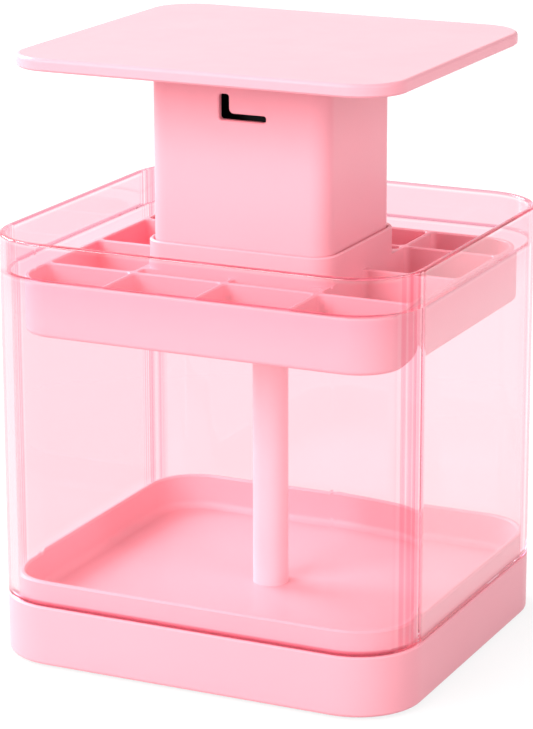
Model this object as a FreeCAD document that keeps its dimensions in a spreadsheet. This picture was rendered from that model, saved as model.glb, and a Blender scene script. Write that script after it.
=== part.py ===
# Lipstick organizer with a press-to-rise rack.
# A round-cornered base carries a clear case and a centre pole. A lid, a hollow
# column and a tray of sixteen cells are one rack that slides on the pole, lifted
# by a spring inside it and held down by a pair of jaws under the lid.
# Millimetres. Z is up, the front is -Y, and the origin is under the middle.

import FreeCAD, Part
import math
import os
import re
import Sketcher
from FreeCAD import Placement, Rotation, Vector

# Driving dimensions, one named value for each size that can be set by itself
SIZES = {
    # Plan of the case and the base
    "case_width": 140.0,
    "case_depth": 128.0,
    "corner_radius": 21.0,
    # Heights of the base, above the surface that it stands on
    "foot_height": 0.8,
    "shoulder_level": 20.0,
    "rim_level": 27.6,
    "floor_level": 16.0,
    "floor_thickness": 2.2,
    "base_wall": 2.4,
    "base_edge_round": 1.2,
    "shoulder_bevel": 0.4,
    "rim_bevel": 0.6,
    "rim_thickness": 2.0,
    "floor_round": 2.5,
    "socket_wall": 1.7,
    "socket_depth": 5.0,
    "rib_thickness": 1.6,
    "rib_depth": 7.5,
    # Cover under the base, its screws and the feet
    "cover_thickness": 2.0,
    "cover_lip": 1.6,
    "cover_screw_reach_x": 40.0,
    "cover_screw_reach_y": 50.0,
    "cover_boss_diameter": 9.0,
    "foot_diameter": 12.0,
    "foot_reach_x": 55.0,
    "foot_reach_y": 49.0,
    "foot_recess": 0.6,
    "foot_bevel": 0.4,
    "cover_recess": 0.2,
    "cover_gap": 0.2,
    "boss_gap": 0.2,
    "boss_roof": 0.6,
    "tower_inset": 1.7,
    # Clear case
    "case_top": 136.4,
    "case_wall": 3.2,
    "case_upper_wall": 1.9,
    "ledge_drop": 11.5,
    "case_edge_round": 0.7,
    "case_seat_gap": 0.3,
    "case_rim_gap": 0.4,
    # Tray
    "tray_bottom": 105.4,
    "tray_height": 17.4,
    "tray_floor": 1.6,
    "tray_wall": 1.6,
    "tray_gap": 4.3,
    "tray_corner_radius": 13.5,
    "tray_edge_round": 1.5,
    "divider": 1.4,
    "cell_corner": 2.0,
    "lip_bevel": 0.4,
    "narrow_cell": 4.6,
    "narrow_corner": 1.2,
    "collar_rise": 8.8,
    "collar_wall": 1.4,
    "foot_gap": 0.35,
    "hub_wall": 2.0,
    "hub_height": 5.0,
    # Column
    "column_width": 60.0,
    "column_depth": 52.0,
    "column_radius": 6.2,
    "column_wall": 2.0,
    "roof_thickness": 2.0,
    "column_boss_diameter": 8.4,
    "tray_boss_diameter": 7.4,
    "column_boss_height": 15.0,
    "column_screw_inset": 4.0,
    "boss_floor": 1.4,
    "head_sink": 0.4,
    "slot_left": -5.5,
    "slot_width": 15.8,
    "slot_leg_width": 3.4,
    "slot_leg_height": 8.0,
    "slot_height": 2.1,
    "slot_drop": 16.4,
    "slot_bend": 1.6,
    "slot_edge": 0.35,
    # Lid
    "lid_top": 191.7,
    "lid_thickness": 4.0,
    "lid_gap": 3.3,
    "lid_corner_radius": 14.5,
    "lid_top_round": 1.2,
    "lid_under_bevel": 0.6,
    "lid_screw_inset": 7.0,
    # Pole and its fittings
    "pole_diameter": 11.4,
    "pole_wall": 1.4,
    "pole_flange_diameter": 22.0,
    "pole_flange": 2.2,
    "plug_height": 8.4,
    "plug_end": 1.2,
    "press_gap": 0.05,
    "stop_gap": 0.3,
    "stop_lip": 0.8,
    "stop_height": 5.5,
    "neck_diameter": 8.8,
    "neck_height": 7.6,
    "head_inset": 0.3,
    "cap_bevel": 1.1,
    "head_height": 1.8,
    "spigot_height": 5.5,
    "slide_gap": 0.3,
    "bush_gap": 0.08,
    "bush_wall": 1.72,
    "sleeve_wall": 1.7,
    # Lift rod and spring
    "rod_diameter": 5.0,
    "rod_flange_diameter": 12.0,
    "rod_flange": 1.5,
    "rod_slack": 0.6,
    "rod_step": 1.0,
    "seat_height": 2.0,
    "spring_wire": 0.7,
    "spring_play": 0.6,
    "spring_close_gap": 0.45,
    "spring_turns": 18.0,
    # Latch
    "latch_width": 40.0,
    "latch_depth": 27.0,
    "latch_height": 22.0,
    "latch_play": 0.8,
    "latch_radius": 2.0,
    "latch_screw_inset_x": 4.0,
    "latch_screw_inset_y": 2.4,
    "jaw_thickness": 3.4,
    "jaw_drop": 8.8,
    "jaw_width": 5.0,
    "jaw_reach": 13.5,
    "jaw_pivot_inset": 3.9,
    "jaw_pivot_y": 6.5,
    "jaw_rest_gap": 0.25,
    "jaw_play": 0.4,
    "jaw_pin_diameter": 2.2,
    "jaw_pin_gap": 0.06,
    "jaw_pin_grip": 3.0,
    "jaw_tip_bevel": 1.2,
    "jaw_swing_room": 1.6,
    "jaw_back_room": 0.6,
    # Screws
    "screw_diameter": 2.5,
    "screw_head_diameter": 5.2,
    "screw_head": 1.6,
    "screw_grip": 8.0,
    "screw_play": 0.25,
    "screw_head_bevel": 0.4,
    "screw_point": 0.8,
    "recess_half_width": 0.35,
    "pilot_room": 1.0,
    "pole_screw_diameter": 3.0,
    "pole_screw_head_diameter": 6.6,
    "pole_screw_head": 2.2,
    "pole_screw_grip": 6.0,
    "washer_diameter": 8.0,
    "washer_thickness": 0.6,
    "pole_screw_sink": 0.6,
}

# Sizes that follow from the driving dimensions
FORMULAS = {
    "half_width": "case_width / 2",
    "half_depth": "case_depth / 2",
    "rim_inset": "case_wall + case_rim_gap",
    "well_inset": "rim_inset + rim_thickness",
    "underfloor": "floor_level - floor_thickness",
    "cover_bottom": "foot_height + cover_recess",
    "cover_top": "cover_bottom + cover_thickness",
    "cover_boss_top": "cover_top + screw_head",
    "flange_bottom": "underfloor - pole_flange",
    "case_bottom": "shoulder_level + case_seat_gap",
    "tray_width": "case_width - 2 * (case_wall + tray_gap)",
    "tray_depth": "case_depth - 2 * (case_wall + tray_gap)",
    "tray_top": "tray_bottom + tray_height",
    "tray_deck": "tray_bottom + tray_floor",
    "collar_top": "tray_top + collar_rise",
    "collar_x": "column_width / 2 + foot_gap + collar_wall",
    "collar_y": "column_depth / 2 + foot_gap + collar_wall",
    "line_x": "collar_x - divider / 2",
    "line_y": "collar_y + narrow_cell + divider / 2",
    "hub_diameter": "sleeve_diameter + 2 * hub_wall",
    "hub_top": "tray_deck + hub_height",
    "lid_bottom": "lid_top - lid_thickness",
    "lid_width": "case_width - 2 * (case_wall + lid_gap)",
    "lid_depth": "case_depth - 2 * (case_wall + lid_gap)",
    "roof_under": "lid_bottom - roof_thickness",
    "boss_x": "column_width / 2 - column_wall - column_screw_inset",
    "boss_y": "column_depth / 2 - column_wall - column_screw_inset",
    "tray_boss_top": "tray_deck + screw_head + boss_floor",
    "lid_screw_x": "column_width / 2 - column_wall - lid_screw_inset",
    "lid_screw_y": "column_depth / 2 - column_wall - lid_screw_inset",
    "pole_bore": "pole_diameter - 2 * pole_wall",
    "stop_diameter": "pole_diameter + 2 * stop_lip",
    "head_diameter": "stop_diameter - 2 * head_inset",
    "bush_diameter": "pole_diameter + 2 * bush_gap + 2 * bush_wall",
    "sleeve_diameter": "sleeve_bore + 2 * sleeve_wall",
    "seat_diameter": "pole_bore - 2 * slide_gap",
    "rod_tip_diameter": "rod_diameter - 2 * rod_step",
    "spring_diameter": "pole_bore - 2 * spring_play",
    "pole_top": "hub_top + stop_gap",
    "neck_level": "pole_top + stop_height",
    "head_level": "neck_level + neck_height",
    "cap_top": "head_level + head_height",
    "spigot_level": "pole_top - spigot_height",
    "seat_top": "spigot_level - rod_slack",
    "seat_level": "seat_top - seat_height",
    "plug_top": "flange_bottom + plug_height",
    "sleeve_bore": "stop_diameter + 2 * slide_gap",
    "latch_bottom": "roof_under - latch_height",
    "latch_bore": "stop_diameter + 2 * latch_play",
    "latch_screw_x": "latch_width / 2 - latch_screw_inset_x",
    "latch_screw_y": "latch_depth / 2 - latch_screw_inset_y",
    "jaw_pivot_x": "latch_bore / 2 + jaw_pivot_inset",
    "jaw_level": "roof_under - jaw_drop",
    "jaw_pin_level": "jaw_level - jaw_play - jaw_pin_grip",
    "jaw_pin_length": "jaw_thickness + 2 * jaw_play + 2 * jaw_pin_grip",
    "screw_hole": "screw_diameter + 2 * screw_play",
    "head_hole": "screw_head_diameter + 2 * screw_play",
    "tower_top": "flange_bottom",
    "washer_level": "cover_bottom + pole_screw_sink + pole_screw_head",
}

doc = FreeCAD.newDocument("lipstick_organizer")
sheet = doc.addObject("Spreadsheet::Sheet", "Sizes")
for row, (alias, size) in enumerate(SIZES.items(), start=1):
    sheet.set(f"A{row}", alias)
    sheet.set(f"B{row}", str(size))
    sheet.setAlias(f"B{row}", alias)
doc.recompute()

CLOSE = 1e-4
# The hidden spring's wire has a few flats in place of a round section
WIRE_SIDES = 4
pieces = {}


def formula(text):
    """Spells a size out in the sheet's own names."""
    def spell(match):
        word = match.group(0)
        if word in FORMULAS:
            return f"({formula(FORMULAS[word])})"
        return f"Sizes.{word}" if word in SIZES else word
    return re.sub(r"[a-z_]+", spell, str(text))


def size(text):
    """The present value of a size."""
    return float(sheet.evalExpression(formula(text)))


def bind(thing, prop, text):
    """Ties one property of an object to the sheet."""
    thing.setExpression(prop, formula(text))


def new_body(name):
    body = doc.addObject("PartDesign::Body", name)
    body.Label = name
    pieces[name] = body
    return body


def new_sketch(body, name, offset="0", role="XY_Plane"):
    """A sketch on one of the body's own planes, moved along its normal."""
    sketch = body.newObject("Sketcher::SketchObject", f"{body.Name}_{name}")
    plane = [item for item in body.Origin.OriginFeatures if item.Role == role][0]
    sketch.AttachmentSupport = [(plane, "")]
    sketch.MapMode = "FlatFace"
    sketch.AttachmentOffset = Placement(Vector(0, 0, size(offset)), Rotation())
    bind(sketch, "AttachmentOffset.Base.z", offset)
    return sketch


def hold(sketch, kind, *terms, value):
    """Adds a dimension to a sketch and ties it to the sheet."""
    index = sketch.addConstraint(Sketcher.Constraint(kind, *terms, size(value)))
    bind(sketch, f"Constraints[{index}]", value)


def pin(sketch, geometry, vertex, x, y):
    """Fixes a vertex at a distance from the sketch's origin."""
    for kind, axis, text in (("DistanceX", -2, x), ("DistanceY", -1, y)):
        value = size(text)
        if abs(value) < CLOSE:
            sketch.addConstraint(Sketcher.Constraint("PointOnObject", geometry, vertex, axis))
        elif value > 0:
            hold(sketch, kind, -1, 1, geometry, vertex, value=text)
        else:
            hold(sketch, kind, geometry, vertex, -1, 1, value=f"-({text})")


def outline(sketch, points):
    """A closed outline of straight runs through pairs of sizes."""
    first = sketch.GeometryCount
    spots = [Vector(size(x), size(y), 0) for x, y in points]
    count = len(spots)
    for index, spot in enumerate(spots):
        sketch.addGeometry(Part.LineSegment(spot, spots[(index + 1) % count]), False)
    for index, (x, y) in enumerate(points):
        here, before = first + index, first + (index - 1) % count
        sketch.addConstraint(Sketcher.Constraint("Coincident", before, 2, here, 1))
        pin(sketch, here, 1, x, y)


def rectangle(sketch, left, front, right, back):
    outline(sketch, [(left, front), (right, front), (right, back), (left, back)])


def rounded(sketch, left, front, right, back, radii):
    """A rectangle whose corners have a radius each, from front right, anticlockwise."""
    x0, y0, x1, y1 = (size(text) for text in (left, front, right, back))
    r = [size(text) for text in radii]
    n = sketch.GeometryCount
    lines = [
        ((x0 + r[3], y0), (x1 - r[0], y0)), ((x1, y0 + r[0]), (x1, y1 - r[1])),
        ((x1 - r[1], y1), (x0 + r[2], y1)), ((x0, y1 - r[2]), (x0, y0 + r[3])),
    ]
    for start, end in lines:
        sketch.addGeometry(Part.LineSegment(Vector(*start, 0), Vector(*end, 0)), False)
    centres = [
        (x1 - r[0], y0 + r[0]), (x1 - r[1], y1 - r[1]),
        (x0 + r[2], y1 - r[2]), (x0 + r[3], y0 + r[3]),
    ]
    for turn, centre in enumerate(centres):
        circle = Part.Circle(Vector(*centre, 0), Vector(0, 0, 1), r[turn])
        start = math.radians(90 * turn - 90)
        sketch.addGeometry(Part.ArcOfCircle(circle, start, start + math.pi / 2), False)
    for turn in range(4):
        arc = n + 4 + turn
        sketch.addConstraint(Sketcher.Constraint("Tangent", n + turn, 2, arc, 1))
        sketch.addConstraint(Sketcher.Constraint("Tangent", arc, 2, n + (turn + 1) % 4, 1))
        sketch.addConstraint(Sketcher.Constraint(("Horizontal", "Vertical")[turn % 2], n + turn))
        hold(sketch, "Radius", arc, value=radii[turn])
    sides = (("DistanceY", n, front), ("DistanceX", n + 1, right),
             ("DistanceY", n + 2, back), ("DistanceX", n + 3, left))
    for kind, line, text in sides:
        if size(text) > 0:
            hold(sketch, kind, -1, 1, line, 1, value=text)
        else:
            hold(sketch, kind, line, 1, -1, 1, value=f"-({text})")


def plan(sketch, width, depth, radius):
    """A centred rectangle with four like corners."""
    half_x, half_y = f"({width}) / 2", f"({depth}) / 2"
    rounded(sketch, f"-{half_x}", f"-{half_y}", half_x, half_y, [radius] * 4)


def inset_plan(sketch, inset):
    """The case's outline, moved in by an inset, with corners that keep their centres."""
    plan(sketch, f"case_width - 2 * ({inset})", f"case_depth - 2 * ({inset})",
         f"corner_radius - ({inset})")


def circle(sketch, x, y, diameter):
    index = sketch.GeometryCount
    centre = Vector(size(x), size(y), 0)
    sketch.addGeometry(Part.Circle(centre, Vector(0, 0, 1), size(diameter) / 2), False)
    hold(sketch, "Diameter", index, value=diameter)
    pin(sketch, index, 3, x, y)


def corners(x, y):
    """Four places, one in each quarter of the plan."""
    return [(f"{sign_x}({x})", f"{sign_y}({y})") for sign_x in ("", "-") for sign_y in ("", "-")]


def settle(body, feature, before, grows):
    """Recomputes, and makes sure that the feature added or took material."""
    doc.recompute()
    after = feature.Shape.Volume
    changed = after - before
    if (changed > CLOSE) != grows or abs(changed) < CLOSE:
        raise RuntimeError(f"{feature.Name} in {body.Label} changed {changed:.3f} mm3")
    body.Tip = feature
    return feature


def volume(body):
    return body.Tip.Shape.Volume if body.Tip and not body.Tip.Shape.isNull() else 0.0


def pad(body, sketch, length, down=False):
    before = volume(body)
    feature = body.newObject("PartDesign::Pad", f"{sketch.Name}_pad")
    feature.Profile = sketch
    feature.Reversed = down
    bind(feature, "Length", length)
    sketch.Visibility = False
    return settle(body, feature, before, True)


def pocket(body, sketch, length, up=False, both=False, taper=0):
    before = volume(body)
    feature = body.newObject("PartDesign::Pocket", f"{sketch.Name}_pocket")
    feature.Profile = sketch
    feature.Reversed = up
    feature.TaperAngle = taper
    if both:
        feature.SideType = "Symmetric"
    bind(feature, "Length", length)
    sketch.Visibility = False
    return settle(body, feature, before, False)


def turn(body, sketch):
    """Revolves a half profile about the upright axis of its sketch."""
    before = volume(body)
    feature = body.newObject("PartDesign::Revolution", f"{sketch.Name}_turn")
    feature.Profile = sketch
    feature.ReferenceAxis = (sketch, ["V_Axis"])
    feature.Angle = 360
    sketch.Visibility = False
    return settle(body, feature, before, True)


def turned(name, points):
    """A body of revolution about the pole's axis, from pairs of diameter and level."""
    body = new_body(name)
    sketch = new_sketch(body, "profile", role="XZ_Plane")
    outline(sketch, [(f"({diameter}) / 2", level) for diameter, level in points])
    turn(body, sketch)
    return body


def soften(body, name, radius, wanted, bevel=False):
    """Rounds or bevels the edges of the body's last feature that pass a test."""
    base = body.Tip
    edges = [f"Edge{number}" for number, edge in enumerate(base.Shape.Edges, start=1)
             if wanted(edge)]
    if not edges:
        raise RuntimeError(f"{body.Label} has no edge for {name}")
    kind, prop = ("Chamfer", "Size") if bevel else ("Fillet", "Radius")
    feature = body.newObject(f"PartDesign::{kind}", f"{body.Name}_{name}")
    feature.Base = (base, edges)
    bind(feature, prop, radius)
    doc.recompute()
    if feature.Shape.isNull() or abs(feature.Shape.Volume - base.Shape.Volume) < CLOSE:
        raise RuntimeError(f"{feature.Name} left its {len(edges)} edges sharp")
    body.Tip = feature
    return feature


def at_level(level):
    """Picks the edges that lie wholly at one height."""
    height = size(level)

    def wanted(edge):
        box = edge.BoundBox
        return abs(box.ZMin - height) < CLOSE and abs(box.ZMax - height) < CLOSE
    return wanted


def within(edge, half_x, half_y):
    """Tells whether an edge stays inside a centred rectangle."""
    box = edge.BoundBox
    return (max(abs(box.XMin), abs(box.XMax)) < half_x + CLOSE
            and max(abs(box.YMin), abs(box.YMax)) < half_y + CLOSE)


def four_mirrored(name, body):
    """Four like pieces, one in each quarter, as one group of separate solids."""
    copies = [body]
    for source, normal in ((0, Vector(1, 0, 0)), (0, Vector(0, 1, 0)), (1, Vector(0, 1, 0))):
        mirror = doc.addObject("Part::Mirroring", f"{name}_mirror")
        mirror.Source = copies[source]
        mirror.Normal = normal
        copies.append(mirror)
    return group(name, copies)


def group(name, solids):
    compound = doc.addObject("Part::Compound", f"{name}_group")
    compound.Links = solids
    compound.Label = name
    pieces[name] = compound
    doc.recompute()
    return compound


def screw(name, x, y, head_level, head_diameter, head, diameter, grip, seen=False):
    """A pan-head screw, driven upwards, with a cross recess where its head is seen."""
    body = doc.addObject("PartDesign::Body", name)
    profile = new_sketch(body, "profile", role="XZ_Plane")
    outline(profile, [
        ("0", head_level), (f"({head_diameter}) / 2 - screw_head_bevel", head_level),
        (f"({head_diameter}) / 2", f"{head_level} + screw_head_bevel"),
        (f"({head_diameter}) / 2", f"{head_level} + {head}"),
        (f"({diameter}) / 2", f"{head_level} + {head}"),
        (f"({diameter}) / 2", f"{head_level} + {head} + {grip} - screw_point"),
        (f"({diameter}) / 2 - screw_head_bevel", f"{head_level} + {head} + {grip}"),
        ("0", f"{head_level} + {head} + {grip}"),
    ])
    turn(body, profile)
    bind(body, "Placement.Base.x", x)
    bind(body, "Placement.Base.y", y)
    doc.recompute()
    if not seen:
        return body
    cross = new_sketch(body, "recess", offset=head_level)
    arm, thin = f"({head_diameter}) * 0.3", "recess_half_width"
    outline(cross, [
        (arm, f"-{thin}"), (arm, thin), (thin, thin), (thin, arm), (f"-{thin}", arm),
        (f"-{thin}", thin), (f"-({arm})", thin), (f"-({arm})", f"-{thin}"),
        (f"-{thin}", f"-{thin}"), (f"-{thin}", f"-({arm})"), (thin, f"-({arm})"),
        (thin, f"-{thin}"),
    ])
    pocket(body, cross, f"({head}) * 0.55", up=True)
    return body


def make_base_shell():
    """The moulded foot: a shoulder for the case, a raised rim and a shallow floor."""
    body = new_body("base_shell")
    sketch = new_sketch(body, "outer", "foot_height")
    inset_plan(sketch, "0")
    pad(body, sketch, "shoulder_level - foot_height")
    sketch = new_sketch(body, "rim", "shoulder_level")
    inset_plan(sketch, "rim_inset")
    pad(body, sketch, "rim_level - shoulder_level")
    sketch = new_sketch(body, "well", "rim_level")
    inset_plan(sketch, "well_inset")
    pocket(body, sketch, "rim_level - floor_level")
    soften(body, "floor_fillet", "floor_round", at_level("floor_level"))
    sketch = new_sketch(body, "cavity", "foot_height")
    inset_plan(sketch, "base_wall")
    pocket(body, sketch, "underfloor - foot_height", up=True)
    sketch = new_sketch(body, "cover_seat", "foot_height")
    inset_plan(sketch, "cover_lip")
    pocket(body, sketch, "cover_top - foot_height", up=True)
    # Socket ring round the pole's flange, and ribs from it to the walls
    socket = "pole_flange_diameter + 2 * slide_gap + 2 * socket_wall"
    sketch = new_sketch(body, "socket", "underfloor")
    circle(sketch, "0", "0", socket)
    circle(sketch, "0", "0", "pole_flange_diameter + 2 * slide_gap")
    pad(body, sketch, "socket_depth", down=True)
    sketch = new_sketch(body, "ribs_across", "underfloor")
    inner, outer = f"({socket}) / 2 - socket_wall / 2", "half_width - base_wall / 2"
    for near, far in ((inner, outer), (f"-({outer})", f"-({inner})")):
        rectangle(sketch, near, "-rib_thickness / 2", far, "rib_thickness / 2")
    outer = "half_depth - base_wall / 2"
    for near, far in ((inner, outer), (f"-({outer})", f"-({inner})")):
        rectangle(sketch, "-rib_thickness / 2", near, "rib_thickness / 2", far)
    pad(body, sketch, "rib_depth", down=True)
    sketch = new_sketch(body, "bosses", "underfloor")
    for x, y in corners("cover_screw_reach_x", "cover_screw_reach_y"):
        circle(sketch, x, y, "cover_boss_diameter")
    pad(body, sketch, "underfloor - cover_boss_top - boss_gap", down=True)
    sketch = new_sketch(body, "boss_holes", "cover_boss_top")
    for x, y in corners("cover_screw_reach_x", "cover_screw_reach_y"):
        circle(sketch, x, y, "screw_diameter + 2 * press_gap")
    pocket(body, sketch, "underfloor - cover_boss_top - boss_roof", up=True)
    sketch = new_sketch(body, "pole_hole", "floor_level")
    circle(sketch, "0", "0", "pole_diameter + 2 * press_gap")
    pocket(body, sketch, "floor_thickness * 2")
    soften(body, "bottom_round", "base_edge_round", lambda edge:
           at_level("foot_height")(edge) and not within(
               edge, size("half_width - cover_lip"), size("half_depth - cover_lip")))
    soften(body, "shoulder_bevel", "shoulder_bevel", lambda edge:
           at_level("shoulder_level")(edge) and not within(
               edge, size("half_width - rim_inset"), size("half_depth - rim_inset")),
           bevel=True)
    soften(body, "rim_bevel", "rim_bevel", at_level("rim_level"), bevel=True)


def make_base_cover():
    """The plate that closes the foot from below, and clamps the pole's flange."""
    body = new_body("base_cover")
    sketch = new_sketch(body, "plate", "cover_bottom")
    inset_plan(sketch, "cover_lip + cover_gap")
    pad(body, sketch, "cover_thickness")
    sketch = new_sketch(body, "tower", "cover_top")
    circle(sketch, "0", "0", "pole_flange_diameter - tower_inset")
    pad(body, sketch, "tower_top - cover_top")
    sketch = new_sketch(body, "bosses", "cover_top")
    for x, y in corners("cover_screw_reach_x", "cover_screw_reach_y"):
        circle(sketch, x, y, "cover_boss_diameter")
    pad(body, sketch, "screw_head")
    sketch = new_sketch(body, "head_holes", "cover_bottom")
    for x, y in corners("cover_screw_reach_x", "cover_screw_reach_y"):
        circle(sketch, x, y, "head_hole")
    circle(sketch, "0", "0", "washer_diameter + 2 * screw_play")
    pocket(body, sketch, "cover_thickness", up=True)
    sketch = new_sketch(body, "washer_hole", "cover_top")
    circle(sketch, "0", "0", "washer_diameter + 2 * screw_play")
    pocket(body, sketch, "washer_level + washer_thickness - cover_top", up=True)
    sketch = new_sketch(body, "screw_holes", "cover_top")
    for x, y in corners("cover_screw_reach_x", "cover_screw_reach_y"):
        circle(sketch, x, y, "screw_hole")
    circle(sketch, "0", "0", "pole_screw_diameter + 2 * screw_play")
    pocket(body, sketch, "tower_top", up=True)
    sketch = new_sketch(body, "foot_recesses", "cover_bottom")
    for x, y in corners("foot_reach_x", "foot_reach_y"):
        circle(sketch, x, y, "foot_diameter + 2 * slide_gap")
    pocket(body, sketch, "foot_recess", up=True)


def make_feet():
    """Four soft pads that the organizer stands on."""
    body = doc.addObject("PartDesign::Body", "foot")
    sketch = new_sketch(body, "pad_outline")
    circle(sketch, "0", "0", "foot_diameter")
    pad(body, sketch, "cover_bottom + foot_recess")
    soften(body, "edge", "foot_bevel", at_level("0"))
    bind(body, "Placement.Base.x", "foot_reach_x")
    bind(body, "Placement.Base.y", "foot_reach_y")
    four_mirrored("rubber_feet", body)


def make_base_fasteners():
    body = screw("cover_screw", "cover_screw_reach_x", "cover_screw_reach_y",
                 "cover_top - screw_head", "screw_head_diameter", "screw_head",
                 "screw_diameter", "screw_grip + screw_head", seen=True)
    four_mirrored("cover_screws", body)
    body = screw("pole_screw", "0", "0", "washer_level - pole_screw_head",
                 "pole_screw_head_diameter", "pole_screw_head", "pole_screw_diameter",
                 "flange_bottom + pole_screw_grip - washer_level", seen=True)
    body.Label = "pole_screw"
    pieces["pole_screw"] = body
    turned("pole_washer", [
        ("pole_screw_diameter + 2 * screw_play", "washer_level"),
        ("washer_diameter", "washer_level"),
        ("washer_diameter", "washer_level + washer_thickness"),
        ("pole_screw_diameter + 2 * screw_play", "washer_level + washer_thickness"),
    ])


def make_pole():
    """A tube whose flange is held under the floor, with a plug below and a cap above."""
    turned("centre_pole", [
        ("pole_bore", "flange_bottom"), ("pole_flange_diameter", "flange_bottom"),
        ("pole_flange_diameter", "underfloor"), ("pole_diameter", "underfloor"),
        ("pole_diameter", "pole_top"), ("pole_bore", "pole_top"),
    ])
    turned("pole_plug", [
        ("pole_screw_diameter + 2 * press_gap", "flange_bottom"),
        ("pole_bore - 2 * press_gap", "flange_bottom"),
        ("pole_bore - 2 * press_gap", "plug_top"),
        ("0", "plug_top"), ("0", "plug_top - plug_end"),
        ("pole_screw_diameter + 2 * press_gap", "plug_top - plug_end"),
    ])
    bore = "rod_diameter + 2 * slide_gap"
    turned("pole_cap", [
        (bore, "spigot_level"), ("pole_bore - 2 * press_gap", "spigot_level"),
        ("pole_bore - 2 * press_gap", "pole_top"), ("stop_diameter", "pole_top"),
        ("stop_diameter", "neck_level - stop_lip"), ("pole_diameter", "neck_level"),
        ("neck_diameter", "neck_level"), ("neck_diameter", "head_level"),
        ("head_diameter", "head_level"), ("head_diameter", "cap_top - cap_bevel"),
        ("head_diameter - 2 * cap_bevel", "cap_top"), (bore, "cap_top"),
    ])


def make_clear_case():
    """Four clear walls in one moulding, thinner above an inner ledge."""
    body = new_body("clear_case")
    sketch = new_sketch(body, "outer", "case_bottom")
    inset_plan(sketch, "0")
    pad(body, sketch, "case_top - case_bottom")
    sketch = new_sketch(body, "lower_bore", "case_top")
    inset_plan(sketch, "case_wall")
    pocket(body, sketch, "case_top - case_bottom")
    sketch = new_sketch(body, "upper_bore", "case_top")
    inset_plan(sketch, "case_upper_wall")
    pocket(body, sketch, "ledge_drop")
    soften(body, "rim_round", "case_edge_round", at_level("case_top"))
    soften(body, "foot_bevel", "shoulder_bevel", at_level("case_bottom"), bevel=True)


def cell_kinds(mouth="0"):
    """The cells of one quarter, widened by a mouth except where the collar rises."""
    outer_x, outer_y = "(tray_width / 2 - tray_wall)", "(tray_depth / 2 - tray_wall)"
    edge_x, edge_y = "(line_x + divider / 2)", "(line_y + divider / 2)"
    near_x, near_y = "(line_x - divider / 2)", "(line_y - divider / 2)"
    centre = "divider / 2"
    return {
        "corner": (f"{edge_x} - {mouth}", f"{edge_y} - {mouth}",
                   f"{outer_x} + {mouth}", f"{outer_y} + {mouth}"),
        "beside": ("collar_x", f"{centre} - {mouth}", f"{outer_x} + {mouth}", f"{near_y} + {mouth}"),
        "before": (f"{centre} - {mouth}", f"{edge_y} - {mouth}",
                   f"{near_x} + {mouth}", f"{outer_y} + {mouth}"),
        "narrow": (f"{centre} - {mouth}", "collar_y", f"{near_x} + {mouth}", f"{near_y} + {mouth}"),
    }


def four_cells(sketch, kind, mouth, x0, y0, x1, y1):
    """One kind of cell in each quarter, with the tray's own corner in a corner cell."""
    quarters = [(True, False), (True, True), (False, True), (False, False)]
    for place, (right, back) in enumerate(quarters):
        left, far = (x0, x1) if right else (f"-({x1})", f"-({x0})")
        front, rear = (y0, y1) if back else (f"-({y1})", f"-({y0})")
        usual = "narrow_corner" if kind == "narrow" else "cell_corner"
        radii = [f"{usual} + {mouth}"] * 4
        if kind == "corner":
            radii[place] = f"tray_corner_radius - tray_wall + {mouth}"
        rounded(sketch, left, front, far, rear, radii)


def make_tray():
    """Twelve cells and four narrow ones round a raised collar for the column's foot."""
    body = new_body("tray")
    sketch = new_sketch(body, "outer", "tray_bottom")
    plan(sketch, "tray_width", "tray_depth", "tray_corner_radius")
    pad(body, sketch, "tray_height")
    for kind, bounds in cell_kinds().items():
        sketch = new_sketch(body, f"cells_{kind}", "tray_top")
        four_cells(sketch, kind, "0", *bounds)
        pocket(body, sketch, "tray_top - tray_deck")
    for kind, bounds in cell_kinds("lip_bevel").items():
        sketch = new_sketch(body, f"mouths_{kind}", "tray_top")
        four_cells(sketch, kind, "lip_bevel", *bounds)
        pocket(body, sketch, "lip_bevel", taper=-45)
    sketch = new_sketch(body, "collar", "tray_top")
    plan(sketch, "2 * collar_x", "2 * collar_y", "column_radius + foot_gap + collar_wall")
    pad(body, sketch, "collar_rise")
    sketch = new_sketch(body, "collar_bore", "collar_top")
    plan(sketch, "column_width + 2 * foot_gap", "column_depth + 2 * foot_gap",
         "column_radius + foot_gap")
    pocket(body, sketch, "collar_top - tray_deck")
    sketch = new_sketch(body, "hub", "tray_deck")
    circle(sketch, "0", "0", "hub_diameter")
    pad(body, sketch, "hub_height")
    sketch = new_sketch(body, "hub_bore", "tray_bottom")
    circle(sketch, "0", "0", "bush_diameter + 2 * press_gap")
    pocket(body, sketch, "hub_top - tray_bottom", up=True)
    sketch = new_sketch(body, "screw_bosses", "tray_deck")
    for x, y in corners("boss_x", "boss_y"):
        circle(sketch, x, y, "tray_boss_diameter")
    pad(body, sketch, "tray_boss_top - tray_deck")
    sketch = new_sketch(body, "head_holes", "tray_bottom")
    for x, y in corners("boss_x", "boss_y"):
        circle(sketch, x, y, "head_hole")
    pocket(body, sketch, "screw_head + head_sink", up=True)
    sketch = new_sketch(body, "screw_holes", "tray_bottom")
    for x, y in corners("boss_x", "boss_y"):
        circle(sketch, x, y, "screw_hole")
    pocket(body, sketch, "tray_boss_top - tray_bottom", up=True)
    soften(body, "bottom_round", "tray_edge_round", lambda edge:
           at_level("tray_bottom")(edge) and not within(
               edge, size("column_width / 2"), size("column_depth / 2")))
    soften(body, "rim_round", "lip_bevel", lambda edge:
           at_level("tray_top")(edge) and not within(
               edge, size("(tray_width - tray_wall) / 2"), size("(tray_depth - tray_wall) / 2")))
    soften(body, "collar_lips", "lip_bevel", at_level("collar_top"), bevel=True)


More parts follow.
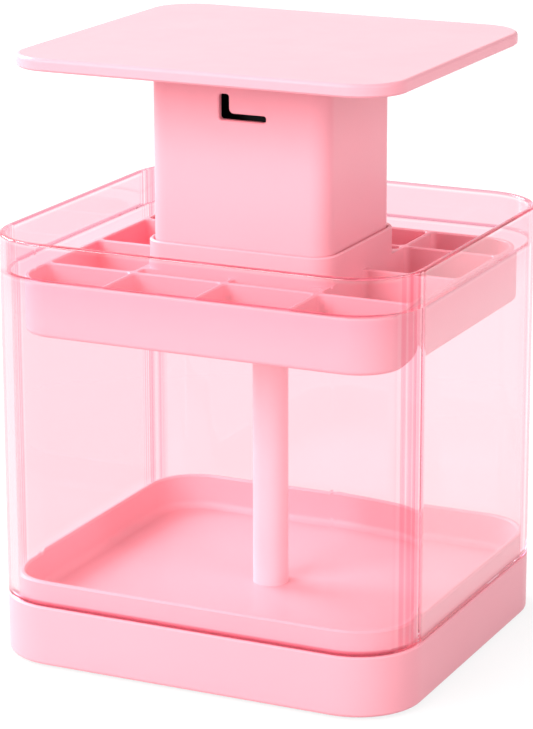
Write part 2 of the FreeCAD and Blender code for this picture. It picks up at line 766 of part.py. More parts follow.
def make_column():
    """The hollow upright between tray and lid, with an L-shaped slot in its front."""
    body = new_body("column_shell")
    sketch = new_sketch(body, "outer", "tray_deck")
    plan(sketch, "column_width", "column_depth", "column_radius")
    pad(body, sketch, "lid_bottom - tray_deck")
    sketch = new_sketch(body, "hollow", "tray_deck")
    plan(sketch, "column_width - 2 * column_wall", "column_depth - 2 * column_wall",
         "column_radius - column_wall")
    pocket(body, sketch, "roof_under - tray_deck", up=True)
    sketch = new_sketch(body, "foot_bosses", "tray_boss_top + boss_gap")
    for x, y in corners("boss_x", "boss_y"):
        circle(sketch, x, y, "column_boss_diameter")
    pad(body, sketch, "column_boss_height")
    sketch = new_sketch(body, "boss_holes", "tray_boss_top")
    for x, y in corners("boss_x", "boss_y"):
        circle(sketch, x, y, "screw_diameter + 2 * press_gap")
    pocket(body, sketch, "screw_grip + pilot_room", up=True)
    sketch = new_sketch(body, "roof_holes", "roof_under")
    for x, y in corners("lid_screw_x", "lid_screw_y"):
        circle(sketch, x, y, "screw_hole")
    for sign in ("", "-"):
        circle(sketch, f"{sign}latch_screw_x", f"{sign}latch_screw_y",
               "screw_hole")
    circle(sketch, "0", "0", "rod_diameter + 2 * press_gap")
    pocket(body, sketch, "roof_thickness", up=True)
    # The slot: a short upright leg, and a thin leg to the right from its foot
    foot, step = "(lid_bottom - slot_drop)", "(lid_bottom - slot_drop + slot_height)"
    crown = "(lid_bottom - slot_drop + slot_leg_height)"
    leg, tip = "(slot_left + slot_leg_width)", "(slot_left + slot_width)"
    sketch = new_sketch(body, "slot", "column_depth / 2", role="XZ_Plane")
    outline(sketch, [("slot_left", foot), (tip, foot), (tip, step), (leg, step),
                     (leg, crown), ("slot_left", crown)])
    pocket(body, sketch, "column_wall * 2")

    def slot_corner(edge, x, z):
        box = edge.BoundBox
        near = abs(box.XMin - size(x)) + abs(box.ZMin - size(z)) < CLOSE
        return near and box.YLength > size("column_wall") - CLOSE and box.ZLength < CLOSE

    soften(body, "slot_bend", "slot_bend", lambda edge: slot_corner(edge, leg, step))
    ends = [(tip, foot), (tip, step)]
    soften(body, "slot_tip", "slot_height * 0.45", lambda edge:
           any(slot_corner(edge, x, z) for x, z in ends))
    ends = [("slot_left", foot), ("slot_left", crown), (leg, crown)]
    soften(body, "slot_leg", "slot_leg_width * 0.3", lambda edge:
           any(slot_corner(edge, x, z) for x, z in ends))

    def slot_mouth(edge):
        box = edge.BoundBox
        front = abs(box.YMin + size("column_depth / 2")) < CLOSE and box.YLength < CLOSE
        inside = box.XMin > size("slot_left") - CLOSE and box.XMax < size(tip) + CLOSE
        return front and inside and box.ZMax < size(crown) + CLOSE and box.ZMin > size(foot) - CLOSE

    soften(body, "slot_edge", "slot_edge", slot_mouth, bevel=True)


def make_lid():
    """The flat top, wide enough to stand things on, with softly rounded edges."""
    body = new_body("lid_plate")
    sketch = new_sketch(body, "outer", "lid_bottom")
    plan(sketch, "lid_width", "lid_depth", "lid_corner_radius")
    pad(body, sketch, "lid_thickness")
    sketch = new_sketch(body, "rod_recess", "lid_bottom")
    circle(sketch, "0", "0", "rod_flange_diameter + 2 * press_gap")
    pocket(body, sketch, "rod_flange", up=True)
    sketch = new_sketch(body, "screw_holes", "lid_bottom")
    for x, y in corners("lid_screw_x", "lid_screw_y"):
        circle(sketch, x, y, "screw_diameter + 2 * press_gap")
    for sign in ("", "-"):
        circle(sketch, f"{sign}latch_screw_x", f"{sign}latch_screw_y",
               "screw_diameter + 2 * press_gap")
    pocket(body, sketch, "lid_thickness * 0.7", up=True)
    soften(body, "top_round", "lid_top_round", at_level("lid_top"))
    soften(body, "under_bevel", "lid_under_bevel", lambda edge:
           at_level("lid_bottom")(edge) and not within(
               edge, size("column_width / 2"), size("column_depth / 2")), bevel=True)


def make_guides():
    """The bush and the sleeve that run on the pole, and the rod that the spring lifts."""
    turned("guide_bush", [
        ("pole_diameter + 2 * bush_gap", "tray_bottom"),
        ("bush_diameter", "tray_bottom"), ("bush_diameter", "hub_top"),
        ("pole_diameter + 2 * bush_gap", "hub_top"),
    ])
    turned("guide_sleeve", [
        ("sleeve_bore", "hub_top"), ("sleeve_diameter", "hub_top"),
        ("sleeve_diameter", "latch_bottom"), ("sleeve_bore", "latch_bottom"),
    ])
    turned("lift_rod", [
        ("0", "seat_level + rod_slack"), ("rod_tip_diameter", "seat_level + rod_slack"),
        ("rod_tip_diameter", "seat_top"), ("rod_diameter", "seat_top"),
        ("rod_diameter", "lid_bottom"), ("rod_flange_diameter", "lid_bottom"),
        ("rod_flange_diameter", "lid_bottom + rod_flange"),
        ("0", "lid_bottom + rod_flange"),
    ])
    turned("spring_seat", [
        ("rod_tip_diameter + 2 * press_gap", "seat_level"), ("seat_diameter", "seat_level"),
        ("seat_diameter", "seat_top"), ("rod_tip_diameter + 2 * press_gap", "seat_top"),
    ])


def make_latch():
    """The housing under the column's roof, and the two jaws that close on the pole's neck."""
    body = new_body("latch_housing")
    sketch = new_sketch(body, "outer", "latch_bottom")
    plan(sketch, "latch_width", "latch_depth", "latch_radius")
    pad(body, sketch, "latch_height")
    sketch = new_sketch(body, "bore", "latch_bottom")
    circle(sketch, "0", "0", "latch_bore")
    for sign in ("", "-"):
        circle(sketch, f"{sign}latch_screw_x", f"{sign}latch_screw_y",
               "screw_hole")
    pocket(body, sketch, "latch_height", up=True)
    sketch = new_sketch(body, "jaw_slot", role="YZ_Plane")
    rectangle(sketch, "jaw_pivot_y - jaw_reach - jaw_swing_room", "jaw_level - jaw_play",
              "jaw_pivot_y + jaw_width / 2 + jaw_back_room",
              "jaw_level + jaw_thickness + jaw_play")
    pocket(body, sketch, "latch_width", both=True)
    sketch = new_sketch(body, "pin_holes", "jaw_pin_level")
    for sign in ("", "-"):
        circle(sketch, f"{sign}jaw_pivot_x", "jaw_pivot_y", "jaw_pin_diameter + 2 * press_gap")
    pocket(body, sketch, "jaw_pin_length", up=True)

    for name, sign in (("latch_jaw_right", ""), ("latch_jaw_left", "-")):
        jaw = new_body(name)
        sketch = new_sketch(jaw, "lever", "jaw_level")
        inner = f"{sign}(latch_bore / 2 + jaw_rest_gap)"
        outer = f"{sign}(latch_bore / 2 + jaw_rest_gap + jaw_width)"
        tip = "(jaw_pivot_y - jaw_reach)"
        outline(sketch, [
            (inner, f"{tip} + jaw_tip_bevel"), (f"{inner} + {sign}jaw_tip_bevel", tip), (outer, tip),
            (f"{sign}(jaw_pivot_x + jaw_width / 2)", "jaw_pivot_y - jaw_width / 4"),
            (f"{sign}(jaw_pivot_x + jaw_width / 2)", "jaw_pivot_y + jaw_width / 4"),
            (f"{sign}(jaw_pivot_x + jaw_width / 4)", "jaw_pivot_y + jaw_width / 2"),
            (f"{sign}(jaw_pivot_x - jaw_width / 4)", "jaw_pivot_y + jaw_width / 2"),
            (inner, "jaw_pivot_y - jaw_width / 2"),
        ])
        pad(jaw, sketch, "jaw_thickness")
        sketch = new_sketch(jaw, "pivot", "jaw_level")
        circle(sketch, f"{sign}jaw_pivot_x", "jaw_pivot_y", "jaw_pin_diameter + 2 * jaw_pin_gap")
        pocket(jaw, sketch, "jaw_thickness", up=True)

    pins = []
    for side, sign in (("right", ""), ("left", "-")):
        pin_body = doc.addObject("PartDesign::Body", f"jaw_pin_{side}")
        sketch = new_sketch(pin_body, "section", "jaw_pin_level")
        circle(sketch, f"{sign}jaw_pivot_x", "jaw_pivot_y", "jaw_pin_diameter")
        pad(pin_body, sketch, "jaw_pin_length")
        pins.append(pin_body)
    group("jaw_pins", pins)


def make_rack_fasteners():
    body = screw("tray_screw", "boss_x", "boss_y", "tray_bottom + head_sink",
                 "screw_head_diameter", "screw_head", "screw_diameter", "screw_grip + 2.5")
    four_mirrored("tray_screws", body)
    body = screw("lid_screw", "lid_screw_x", "lid_screw_y",
                 "roof_under - screw_head", "screw_head_diameter", "screw_head",
                 "screw_diameter", "roof_thickness + lid_thickness * 0.6")
    four_mirrored("lid_screws", body)
    latch_screws = []
    for side, sign in (("right", ""), ("left", "-")):
        latch_screws.append(screw(
            f"latch_screw_{side}", f"{sign}latch_screw_x", f"{sign}latch_screw_y",
            "latch_bottom - screw_head",
            "screw_head_diameter", "screw_head", "screw_diameter",
            "latch_height + roof_thickness + lid_thickness * 0.6"))
    group("latch_screws", latch_screws)


def coil_point(angle, levels):
    """A point of the spring's centre line, and its direction."""
    radius = size("(spring_diameter - spring_wire) / 2")
    bottom, end_pitch, pitch, end_turns, turns = levels
    full = 2 * math.pi
    last = (turns - end_turns) * full
    height = bottom + end_pitch * min(angle, end_turns * full) / full
    height += pitch * max(0.0, min(angle, last) - end_turns * full) / full
    height += end_pitch * max(0.0, angle - last) / full
    slope = pitch if end_turns * full - CLOSE < angle < last + CLOSE else end_pitch
    if abs(angle - end_turns * full) < CLOSE or abs(angle - last) < CLOSE:
        slope = (pitch + end_pitch) / 2
    spot = Vector(radius * math.cos(angle), radius * math.sin(angle), height)
    heading = Vector(-radius * math.sin(angle), radius * math.cos(angle), slope / full)
    return spot, heading.normalize()


def arc_from(start, corner, end):
    """The arc that leaves start towards corner and reaches end from corner."""
    middle = (start + end) * 0.5
    rise = corner - middle
    half = (end - start).Length / 2
    sag = half * math.tan(math.atan2(rise.Length, half) / 2)
    return Part.Arc(start, middle + rise.normalize() * sag, end).toShape()


def biarc(start, start_heading, end, end_heading):
    """Two arcs that join two points with given headings and no kink."""
    span = end - start
    sweep = start_heading + end_heading
    spread = 2 * (1 - start_heading.dot(end_heading))
    along = span.dot(sweep)
    reach = (math.sqrt(along ** 2 + spread * span.dot(span)) - along) / spread
    near = start + start_heading * reach
    far = end - end_heading * reach
    joint = (near + far) * 0.5
    return [arc_from(start, near, joint), arc_from(joint, far, end)]


def spoke(heading, side):
    """A unit vector square to the wire, one for each flat of its section."""
    across = heading.cross(Vector(0, 0, 1)).normalize()
    upward = across.cross(heading)
    angle = 2 * math.pi * side / WIRE_SIDES
    return across * math.cos(angle) + upward * math.sin(angle)


def make_spring():
    """The coil spring hidden in the pole, one unbroken wire with close end turns."""
    wire, turns, end_turns = size("spring_wire"), size("spring_turns"), 1
    bottom, top = size("plug_top") + wire / 2, size("seat_level") - wire / 2
    end_pitch = wire + size("spring_close_gap")
    pitch = (top - bottom - 2 * end_turns * end_pitch) / (turns - 2 * end_turns)
    levels = (bottom, end_pitch, pitch, end_turns, turns)
    halves = int(round(turns * 2))
    stations = [coil_point(index * math.pi, levels) for index in range(halves + 1)]
    edges = []
    for (start, leaving), (end, arriving) in zip(stations, stations[1:]):
        edges += biarc(start, leaving, end, arriving)
    path = Part.Wire(edges)
    start, heading = stations[0]
    section = Part.makePolygon([start + spoke(heading, side) * (wire / 2)
                                for side in range(WIRE_SIDES + 1)])
    solid = path.makePipeShell([section], True, False)
    steps = 24
    line = [coil_point(index * 2 * math.pi / steps, levels)[0]
            for index in range(int(turns * steps) + 1)]
    least = min((line[a] - line[b]).Length for a in range(len(line))
                for b in range(a + steps // 2, min(a + 2 * steps, len(line))))
    print(f"lift_spring: {turns:g} turns, least self gap {least - wire:.2f} mm")
    feature = doc.addObject("Part::Feature", "lift_spring")
    feature.Shape = solid
    feature.Label = "lift_spring"
    pieces["lift_spring"] = feature


make_base_shell()
make_base_cover()
make_feet()
make_base_fasteners()
make_pole()
make_clear_case()
make_tray()
make_column()
make_lid()
make_guides()
make_latch()
make_rack_fasteners()
make_spring()
doc.recompute()

failed = [item.Name for item in doc.Objects if {"Invalid", "Error"} & set(item.State)]
for name, piece in pieces.items():
    if piece.Shape.isNull() or not piece.Shape.isValid() or not piece.Shape.Solids:
        failed.append(name)
if failed:
    raise RuntimeError("these did not build: " + ", ".join(failed))

os.makedirs("parts", exist_ok=True)
for name, piece in pieces.items():
    piece.Shape.exportStep(f"parts/{name}.step")
    print(f"{name}: {len(piece.Shape.Solids)} solid(s), {piece.Shape.Volume / 1000:.2f} cm3")
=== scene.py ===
import math

import bpy
from mathutils import Matrix, Vector

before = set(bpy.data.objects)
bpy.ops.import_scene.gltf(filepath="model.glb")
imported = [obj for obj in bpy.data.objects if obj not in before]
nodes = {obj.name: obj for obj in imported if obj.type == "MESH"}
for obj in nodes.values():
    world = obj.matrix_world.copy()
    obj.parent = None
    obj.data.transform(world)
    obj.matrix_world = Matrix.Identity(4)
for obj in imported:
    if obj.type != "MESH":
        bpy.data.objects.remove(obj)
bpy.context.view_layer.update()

# Heights of the clear case, and where its painted reflection streaks at the corners begin in x
# and in y
CASE_LOW, CASE_HIGH = 0.0203, 0.1364
REFLECTION_STREAK_START = (0.0662, 0.0427)
# A ray deeper than this is taken as caught inside a clear wall
MOST_BOUNCES = 4.5


# Shader helpers

def new_material(name):
    """An empty node material with its output."""
    material = bpy.data.materials.new(name)
    material.use_nodes = True
    tree = material.node_tree
    tree.nodes.clear()
    return material, tree, tree.nodes.new("ShaderNodeOutputMaterial")


def place_noise(tree, scale, detail=2.0, roughness=0.5, stretch=(1, 1, 1)):
    """Noise in real metres, so that it has the same size on every piece."""
    coordinates = tree.nodes.new("ShaderNodeTexCoord")
    mapping = tree.nodes.new("ShaderNodeMapping")
    mapping.inputs["Scale"].default_value = stretch
    noise = tree.nodes.new("ShaderNodeTexNoise")
    noise.inputs["Scale"].default_value = scale
    noise.inputs["Detail"].default_value = detail
    noise.inputs["Roughness"].default_value = roughness
    tree.links.new(coordinates.outputs["Object"], mapping.inputs["Vector"])
    tree.links.new(mapping.outputs["Vector"], noise.inputs["Vector"])
    return noise.outputs["Fac"]


def spread(tree, value, low, high, clip=(0.3, 0.7)):
    """Maps a value within the clip, by default that of noise, onto another range."""
    node = tree.nodes.new("ShaderNodeMapRange")
    node.inputs["From Min"].default_value = clip[0]
    node.inputs["From Max"].default_value = clip[1]
    node.inputs["To Min"].default_value = low
    node.inputs["To Max"].default_value = high
    tree.links.new(value, node.inputs["Value"])
    return node.outputs["Result"]


def blend(tree, value, first, second):
    """Mixes two colours, the first at a value of 0 and the second at 1."""
    node = tree.nodes.new("ShaderNodeMix")
    node.data_type = "RGBA"
    node.inputs["A"].default_value = (*first, 1)
    node.inputs["B"].default_value = (*second, 1)
    tree.links.new(value, node.inputs["Factor"])
    return node.outputs["Result"]


def bumps(tree, height, strength, distance, under=None):
    """A bump of real height in metres, on top of another one where there is one."""
    node = tree.nodes.new("ShaderNodeBump")
    node.inputs["Strength"].default_value = strength
    node.inputs["Distance"].default_value = distance
    tree.links.new(height, node.inputs["Height"])
    if under:
        tree.links.new(under, node.inputs["Normal"])
    return node.outputs["Normal"]


def calculate(tree, operation, first, second):
    """One sum on a socket, with another socket or a plain number."""
    node = tree.nodes.new("ShaderNodeMath")
    node.operation = operation
    tree.links.new(first, node.inputs[0])
    if isinstance(second, (int, float)):
        node.inputs[1].default_value = second
    else:
        tree.links.new(second, node.inputs[1])
    return node.outputs["Value"]


def choose_shader(tree, share, first, second):
    """Mixes two shaders, the first at a share of 0 and the second at 1."""
    node = tree.nodes.new("ShaderNodeMixShader")
    tree.links.new(share, node.inputs["Fac"])
    tree.links.new(first, node.inputs[1])
    tree.links.new(second, node.inputs[2])
    return node.outputs["Shader"]


def see_through(tree, colour):
    """Lets light pass straight, in a colour."""
    node = tree.nodes.new("ShaderNodeBsdfTransparent")
    node.inputs["Color"].default_value = (*colour, 1)
    return node.outputs["BSDF"]


# Materials

def moulded_plastic(name, colour, shade, polish, grain, coat=0.0):
    """Injection-moulded plastic: slow colour drift, polish that varies, and a fine skin. A coat
    lies only on surfaces that face up."""
    material, tree, output = new_material(name)
    shader = tree.nodes.new("ShaderNodeBsdfPrincipled")
    drift = spread(tree, place_noise(tree, 9.0, 3.0), 0.0, 1.0)
    tree.links.new(blend(tree, drift, colour, shade), shader.inputs["Base Color"])
    smudge = place_noise(tree, 45.0, 4.0, 0.6, (1, 1, 0.5))
    tree.links.new(spread(tree, smudge, *polish), shader.inputs["Roughness"])
    flow = bumps(tree, place_noise(tree, 60.0, 1.0), 0.25, 0.00003)
    skin = bumps(tree, place_noise(tree, grain, 2.0), 0.35, 0.00002, flow)
    tree.links.new(skin, shader.inputs["Normal"])
    shader.inputs["IOR"].default_value = 1.5
    shader.inputs["Specular IOR Level"].default_value = 0.2
    if coat:
        facing = tree.nodes.new("ShaderNodeNewGeometry")
        sides = tree.nodes.new("ShaderNodeSeparateXYZ")
        tree.links.new(facing.outputs["Normal"], sides.inputs["Vector"])
        tree.links.new(spread(tree, sides.outputs["Z"], 0.0, coat, (0.8, 0.95)),
                       shader.inputs["Coat Weight"])
    shader.inputs["Coat Roughness"].default_value = 0.08
    tree.links.new(shader.outputs["BSDF"], output.inputs["Surface"])
    return material


def height_colour(tree, height, bands):
    """A colour for each height of the clear case, from pairs of level and colour."""
    ramp = tree.nodes.new("ShaderNodeValToRGB")
    stops = ramp.color_ramp.elements
    stops.remove(stops[1])
    for index, (level, colour) in enumerate(bands):
        spot = (level - CASE_LOW) / (CASE_HIGH - CASE_LOW)
        stop = stops[0] if index == 0 else stops.new(spot)
        stop.position = spot
        stop.color = (*colour, 1)
    tree.links.new(spread(tree, height, 0.0, 1.0, (CASE_LOW, CASE_HIGH)), ramp.inputs["Fac"])
    return ramp.outputs["Color"]


def reach_past(tree, axes, axis, start):
    """How far a point lies past a given distance from the middle, along one axis."""
    node = tree.nodes.new("ShaderNodeMath")
    node.operation = "ABSOLUTE"
    tree.links.new(axes.outputs[axis], node.inputs[0])
    return calculate(tree, "SUBTRACT", node.outputs["Value"], start)


def painted_corner_reflections(tree, axes, plain, corner_reflection_colour):
    """Lays painted reflections over a plain colour at the case's corners: upright streaks, clear
    and coloured, that stand in for light mirrored and bent in the rounded corners.
    """
    nearer = calculate(tree, "MINIMUM", reach_past(tree, axes, "X", REFLECTION_STREAK_START[0]),
                       reach_past(tree, axes, "Y", REFLECTION_STREAK_START[1]))
    corner = spread(tree, nearer, 0.0, 1.0, (-0.0004, 0.0008))
    lines = place_noise(tree, 1.0, 2.0, 0.6, (560, 560, 0))
    streaks = blend(tree, spread(tree, lines, 0.0, 1.0, (0.42, 0.56)), (1.0, 1.0, 1.0),
                    corner_reflection_colour)
    node = tree.nodes.new("ShaderNodeMix")
    node.data_type = "RGBA"
    tree.links.new(corner, node.inputs["Factor"])
    tree.links.new(plain, node.inputs["A"])
    tree.links.new(streaks, node.inputs["B"])
    return node.outputs["Result"]


def let_light_pass(tree, surface, edge_reflection_colour):
    """Lamps and soft light pass the surface straight, and light that is caught inside a wall
    leaves it in a painted reflection colour, which stands in for the pink mirrored in the wall's
    edges."""
    path = tree.nodes.new("ShaderNodeLightPath")
    caught = calculate(tree, "GREATER_THAN", path.outputs["Ray Depth"], MOST_BOUNCES)
    walls = choose_shader(tree, caught, surface, see_through(tree, edge_reflection_colour))
    soft = calculate(tree, "MAXIMUM", path.outputs["Is Shadow Ray"],
                     path.outputs["Is Diffuse Ray"])
    return choose_shader(tree, soft, walls, see_through(tree, (1.0, 0.985, 0.99)))


def clear_plastic(name, bands, corner_reflection_colour, edge_reflection_colour):
    """Clear polished plastic with its faint tint in the surface. The tint follows the height,
    with painted shade at the seat and painted highlight and refraction lines at the ledge and the
    rim, and turns into painted reflection streaks round the upright corners."""
    material, tree, output = new_material(name)
    shader = tree.nodes.new("ShaderNodeBsdfPrincipled")
    where = tree.nodes.new("ShaderNodeTexCoord")
    axes = tree.nodes.new("ShaderNodeSeparateXYZ")
    tree.links.new(where.outputs["Object"], axes.inputs["Vector"])
    # The height bands hold painted shade at the seat and painted highlight and refraction lines
    # at the ledge and the rim
    plain = height_colour(tree, axes.outputs["Z"], bands)
    tree.links.new(painted_corner_reflections(tree, axes, plain, corner_reflection_colour), shader.inputs["Base Color"])
    shader.inputs["Transmission Weight"].default_value = 1.0
    shader.inputs["IOR"].default_value = 1.49
    wipes = place_noise(tree, 30.0, 3.0, 0.6, (1, 1, 0.4))
    tree.links.new(spread(tree, wipes, 0.0, 0.03), shader.inputs["Roughness"])
    waves = bumps(tree, place_noise(tree, 22.0, 1.0), 0.12, 0.00006)
    tree.links.new(waves, shader.inputs["Normal"])
    surface = let_light_pass(tree, shader.outputs["BSDF"], edge_reflection_colour)
    tree.links.new(surface, output.inputs["Surface"])
    return material


def steel(name, colour, polish, lay):
    """Metal with a fine turned or drawn lay."""
    material, tree, output = new_material(name)
    shader = tree.nodes.new("ShaderNodeBsdfPrincipled")
    darker = tuple(c * 0.8 for c in colour)
    blotch = spread(tree, place_noise(tree, 300.0, 3.0), 0.0, 1.0)
    tree.links.new(blend(tree, blotch, colour, darker), shader.inputs["Base Color"])
    shader.inputs["Metallic"].default_value = 1.0
    streak = place_noise(tree, 900.0, 3.0, 0.6, lay)
    tree.links.new(spread(tree, streak, *polish), shader.inputs["Roughness"])
    tree.links.new(bumps(tree, streak, 0.3, 0.00002), shader.inputs["Normal"])
    tree.links.new(shader.outputs["BSDF"], output.inputs["Surface"])
    return material


PINK = (0.9, 0.372, 0.434)
PINK_WARM = (0.885, 0.354, 0.416)
POLE, POLE_WARM = (0.98, 0.55, 0.61), (0.97, 0.5, 0.56)
# Painted shade of the gap where the case sits on the base
CLEAR_SEAT_SHADE = (0.36, 0.05, 0.1)
CLEAR_BODY, CLEAR_RIM = (1.0, 0.87, 0.895), (1.0, 0.78, 0.83)
# Painted highlight lines, each with a dark painted refraction line just above it, at the ledge
# and the rim
CLEAR_REFRACTION_LINE, CLEAR_HIGHLIGHT = (0.75, 0.32, 0.42), (1.0, 1.0, 1.0)
# Colour of the painted reflection streaks at the case's corners
# Painted reflection colour for light caught inside a clear wall
CLEAR_CORNER_REFLECTION, CLEAR_EDGE_REFLECTION = (0.95, 0.38, 0.48), (0.95, 0.45, 0.56)
# Smooth enough to shine, yet rough enough for the denoiser to treat every part of it alike
METAL_POLISH = (0.29, 0.42)

shell_pink = moulded_plastic("shell_pink", PINK, PINK_WARM, (0.29, 0.37), 2400.0, coat=0.3)
tray_pink = moulded_plastic("tray_pink", PINK, PINK_WARM, (0.31, 0.42), 2000.0)
cover_pink = moulded_plastic("cover_pink", PINK, PINK_WARM, (0.5, 0.62), 1500.0)
pole_pink = moulded_plastic("pole_pink", POLE, POLE_WARM, (0.285, 0.33), 2600.0, coat=0.35)
black = moulded_plastic("black_moulding", (0.012, 0.011, 0.012), (0.02, 0.018, 0.02),
                        (0.4, 0.55), 1800.0)
white = moulded_plastic("white_moulding", (0.76, 0.75, 0.72), (0.7, 0.69, 0.66),
                        (0.35, 0.5), 1800.0)
pads = moulded_plastic("foot_pads", (0.55, 0.5, 0.5), (0.48, 0.44, 0.44),
                       (0.6, 0.75), 1200.0)
# From the seat on the base, over the plain walls and the ledge, to the rim; the seat band is
# painted shade, and the ledge and the rim each carry a painted highlight line under a painted
# refraction line
clear = clear_plastic("clear_case", (
    (0.0203, CLEAR_SEAT_SHADE), (0.0211, CLEAR_SEAT_SHADE), (0.0216, CLEAR_BODY), (0.112, CLEAR_BODY),
    (0.1225, CLEAR_RIM), (0.1237, CLEAR_RIM), (0.124, CLEAR_HIGHLIGHT), (0.1245, CLEAR_HIGHLIGHT),
    (0.1247, CLEAR_REFRACTION_LINE), (0.1251, CLEAR_REFRACTION_LINE), (0.1254, CLEAR_RIM), (0.1346, CLEAR_RIM),
    (0.1349, CLEAR_HIGHLIGHT), (0.1356, CLEAR_HIGHLIGHT), (0.1358, CLEAR_REFRACTION_LINE), (0.1364, CLEAR_REFRACTION_LINE)),
    CLEAR_CORNER_REFLECTION, CLEAR_EDGE_REFLECTION)
plated = steel("plated_steel", (0.62, 0.62, 0.6), METAL_POLISH, (1, 1, 0.2))
drawn = steel("drawn_steel", (0.5, 0.5, 0.52), METAL_POLISH, (0.2, 0.2, 1))

FINISH = {
    "base_shell": shell_pink, "column_shell": shell_pink, "lid_plate": shell_pink,
    "base_cover": cover_pink, "tray": tray_pink, "centre_pole": pole_pink,
    "clear_case": clear, "rubber_feet": pads,
    "pole_plug": black, "guide_sleeve": black, "latch_housing": black,
    "pole_cap": white, "guide_bush": white, "spring_seat": white,
    "latch_jaw_right": white, "latch_jaw_left": white,
    "cover_screws": plated, "pole_screw": plated, "pole_washer": plated,
    "tray_screws": plated, "lid_screws": plated, "latch_screws": plated,
    "lift_rod": drawn, "jaw_pins": drawn, "lift_spring": drawn,
}
for name, node in nodes.items():
    for slot in node.material_slots:
        slot.material = FINISH[name]


# The floor, the backdrop and the light

FLOOR_HALF, FLOOR_LEVEL = 6.0, -0.0002
PAPER_GREY, PAPER_GREY_LIGHT = (0.54, 0.54, 0.54), (0.58, 0.58, 0.58)
# How much of the backdrop's glow shows beside the base, and between which distances it grows
PAPER_NEAR, PAPER_FADE = 0.7, (0.12, 0.3)
PAPER_GLOW, BACKDROP_GLOW, ROOM_LIGHT = 1.2, 1.0, 0.42
THROUGH_CASE = (1.0, 0.82, 0.86)


def flat_sheet(name, half, height):
    """A level square round the middle."""
    mesh = bpy.data.meshes.new(name)
    corners = [(-half, -half, height), (half, -half, height), (half, half, height),
               (-half, half, height)]
    mesh.from_pydata(corners, [], [(0, 1, 2, 3)])
    sheet = bpy.data.objects.new(name, mesh)
    bpy.context.scene.collection.objects.link(sheet)
    return sheet


def seen_rays(tree):
    """One for the rays that show a backdrop: straight, mirrored, or through the clear case."""
    path = tree.nodes.new("ShaderNodeLightPath")
    value = path.outputs["Is Camera Ray"]
    for kind in ("Is Transmission Ray", "Is Glossy Ray"):
        value = calculate(tree, "MAXIMUM", value, path.outputs[kind])
    return value


def seen_colour(tree):
    """White, or faintly pink for rays that come through the clear case."""
    path = tree.nodes.new("ShaderNodeLightPath")
    return blend(tree, path.outputs["Is Transmission Ray"], (1, 1, 1), THROUGH_CASE)


def white_paper(name):
    """White paper that keeps a weak shadow round the base and turns into the backdrop farther
    out."""
    material, tree, output = new_material(name)
    shader = tree.nodes.new("ShaderNodeBsdfPrincipled")
    shader.inputs["Roughness"].default_value = 0.9
    shader.inputs["Specular IOR Level"].default_value = 0.1
    tree.links.new(blend(tree, place_noise(tree, 3.0), PAPER_GREY, PAPER_GREY_LIGHT),
                   shader.inputs["Base Color"])
    glow = tree.nodes.new("ShaderNodeEmission")
    tree.links.new(seen_colour(tree), glow.inputs["Color"])
    glow.inputs["Strength"].default_value = PAPER_GLOW
    where = tree.nodes.new("ShaderNodeTexCoord")
    far = tree.nodes.new("ShaderNodeVectorMath")
    far.operation = "LENGTH"
    tree.links.new(where.outputs["Object"], far.inputs[0])
    share = spread(tree, far.outputs["Value"], PAPER_NEAR, 1.0, PAPER_FADE)
    shown = calculate(tree, "MULTIPLY", share, seen_rays(tree))
    surface = choose_shader(tree, shown, shader.outputs["BSDF"], glow.outputs["Emission"])
    tree.links.new(surface, output.inputs["Surface"])
    return material


def studio(name):
    """Soft light from all round, with a brighter backdrop for the rays that show it."""
    world = bpy.data.worlds.new(name)
    bpy.context.scene.world = world
    world.use_nodes = True
    tree = world.node_tree
    tree.nodes.clear()
    output = tree.nodes.new("ShaderNodeOutputWorld")
    room = tree.nodes.new("ShaderNodeBackground")
    room.inputs["Color"].default_value = (1, 1, 1, 1)
    room.inputs["Strength"].default_value = ROOM_LIGHT
    paper = tree.nodes.new("ShaderNodeBackground")
    tree.links.new(seen_colour(tree), paper.inputs["Color"])
    paper.inputs["Strength"].default_value = BACKDROP_GLOW
    surface = choose_shader(tree, seen_rays(tree), room.outputs["Background"],
                            paper.outputs["Background"])
    tree.links.new(surface, output.inputs["Surface"])


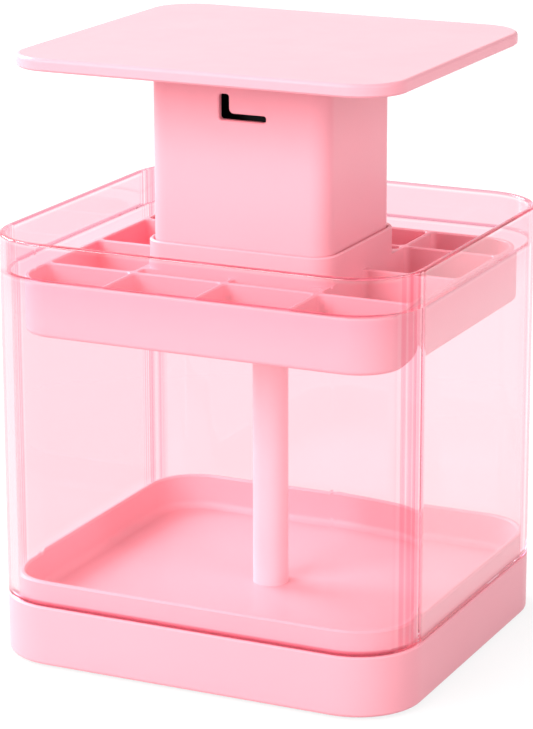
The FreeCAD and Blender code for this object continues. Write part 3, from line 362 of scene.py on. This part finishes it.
def soft_lamp(name, spot, aim, size, power):
    """A rectangular lamp that faces its aim."""
    lamp = bpy.data.lights.new(name, "AREA")
    lamp.shape = "RECTANGLE"
    lamp.size, lamp.size_y = size
    lamp.energy = power
    holder = bpy.data.objects.new(name, lamp)
    holder.location = spot
    direction = Vector(aim) - Vector(spot)
    holder.rotation_euler = direction.to_track_quat("-Z", "Y").to_euler()
    bpy.context.scene.collection.objects.link(holder)


floor = flat_sheet("floor", FLOOR_HALF, FLOOR_LEVEL)
floor.data.materials.append(white_paper("floor_white"))
studio("studio")
soft_lamp("key", (-0.6, -1.4, 0.9), (0, 0, 0.09), (1.1, 1.0), 33.5)
soft_lamp("left", (-1.5, 0.3, 1.0), (0, 0, 0.05), (1.2, 1.2), 46.0)
soft_lamp("side", (1.3, -0.5, 0.6), (0, 0, 0.09), (0.8, 1.0), 9.5)


# The camera, fitted to edges that were measured in the photograph. The focal length, the axis and
# the photograph's own size are in its pixels.

PHOTO_HEIGHT = 729.0
PHOTO_CENTRE = (266.5, 364.5)
AZIMUTH, ELEVATION, ROLL = math.radians(25.26), math.radians(16.0), math.radians(-0.1)
DISTANCE, FOCAL, AXIS = 0.9611, 3028.1, (272.1, 376.6)
TARGET = Vector((0, 0, 0.0842))
SENSOR = 36.0


def place_camera(name):
    """A camera that looks at the target, with its axis shifted as in the photograph."""
    data = bpy.data.cameras.new(name)
    camera = bpy.data.objects.new(name, data)
    bpy.context.scene.collection.objects.link(camera)
    back = Vector((math.sin(AZIMUTH) * math.cos(ELEVATION),
                   -math.cos(AZIMUTH) * math.cos(ELEVATION), math.sin(ELEVATION)))
    right = Vector((0, 0, 1)).cross(back).normalized()
    up = back.cross(right)
    right, up = (right * math.cos(ROLL) + up * math.sin(ROLL),
                 up * math.cos(ROLL) - right * math.sin(ROLL))
    turn = Matrix((right, up, back)).transposed().to_4x4()
    camera.matrix_world = Matrix.Translation(TARGET + back * DISTANCE) @ turn
    data.sensor_fit = "AUTO"
    data.sensor_width = SENSOR
    data.lens = FOCAL / PHOTO_HEIGHT * SENSOR
    data.shift_x = -(AXIS[0] - PHOTO_CENTRE[0]) / PHOTO_HEIGHT
    data.shift_y = (AXIS[1] - PHOTO_CENTRE[1]) / PHOTO_HEIGHT
    data.clip_start, data.clip_end = 0.01, 20.0
    bpy.context.scene.camera = camera


place_camera("camera")
bpy.context.scene.view_settings.view_transform = "Standard"
